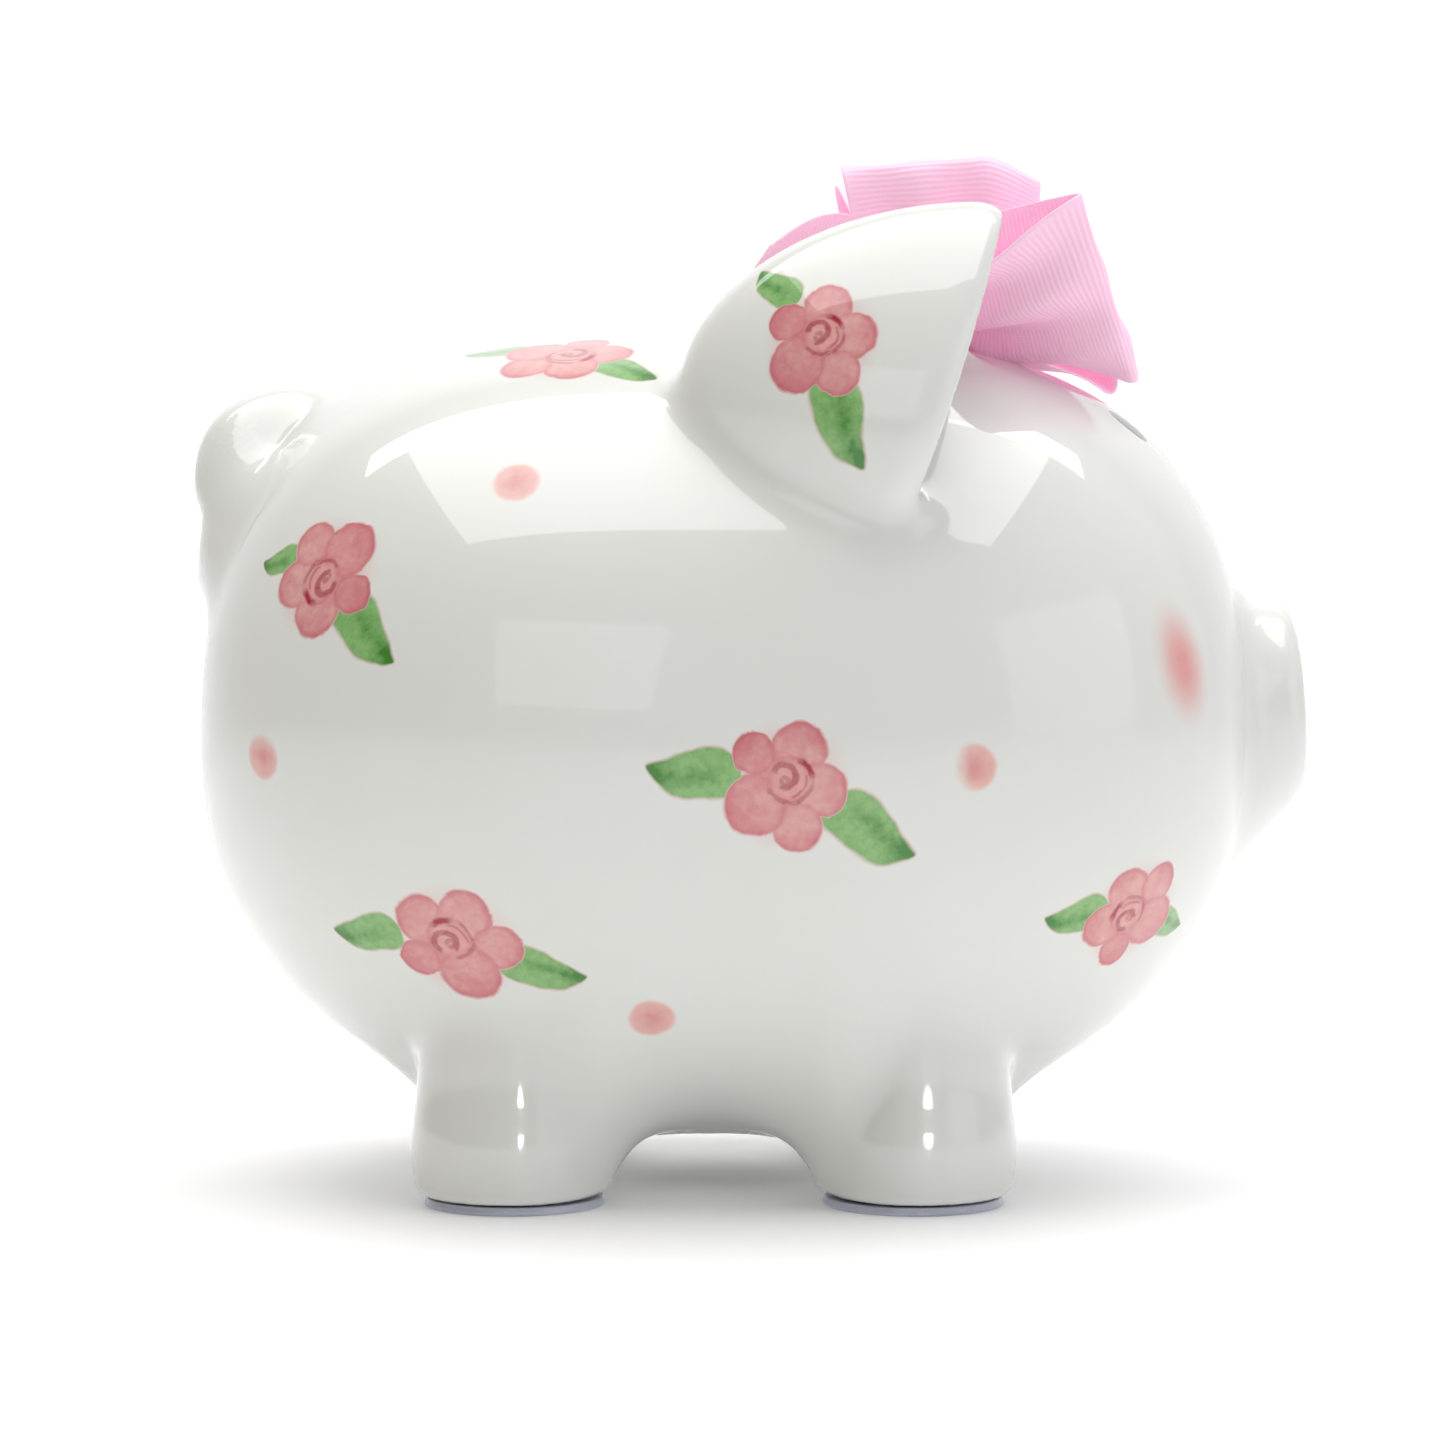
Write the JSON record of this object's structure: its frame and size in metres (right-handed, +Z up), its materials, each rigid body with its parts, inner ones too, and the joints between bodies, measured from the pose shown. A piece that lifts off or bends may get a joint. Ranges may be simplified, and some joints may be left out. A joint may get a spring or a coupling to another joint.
{
  "type": "piggy bank",
  "caption": "Round glazed ceramic piggy bank with cupped ears, curled tail, painted flowers, coin slot, belly stopper and a ribbon bow.",
  "frame": {"origin": "on the floor, under the centre of the bank's box", "axes": "+X towards the snout, +Y towards the pig's left side, +Z up"},
  "size_m": [0.2157, 0.156, 0.1987],
  "materials": {
    "glaze": "glossy off-white glaze with painted flowers",
    "stopper_rubber": "matt moulded rubber",
    "pad_vinyl": "soft blue-grey vinyl",
    "ribbon": "ribbed grosgrain weave",
    "glue": "hot-melt adhesive"
  },
  "bodies": {
    "root": {"body_casting": "glaze", "ear_left": "glaze", "ear_right": "glaze", "tail_curl": "glaze", "foot_pad_rear_right": "pad_vinyl", "foot_pad_rear_left": "pad_vinyl", "foot_pad_front_right": "pad_vinyl", "foot_pad_front_left": "pad_vinyl", "bow_knot": "ribbon", "bow_glue": "glue", "bow_loop_upper_left": "ribbon", "bow_loop_upper_right": "ribbon", "bow_loop_front_left": "ribbon", "bow_loop_front_right": "ribbon", "bow_tail_left": "ribbon", "bow_tail_right": "ribbon"},
    "stopper": {"rubber_stopper": "stopper_rubber"}
  },
  "joints": [
    {"name": "stopper_pull", "type": "slide", "parent": "root", "child": "stopper", "axis": [0, 0, -1], "range_m": [0, 0.014]}
  ]
}
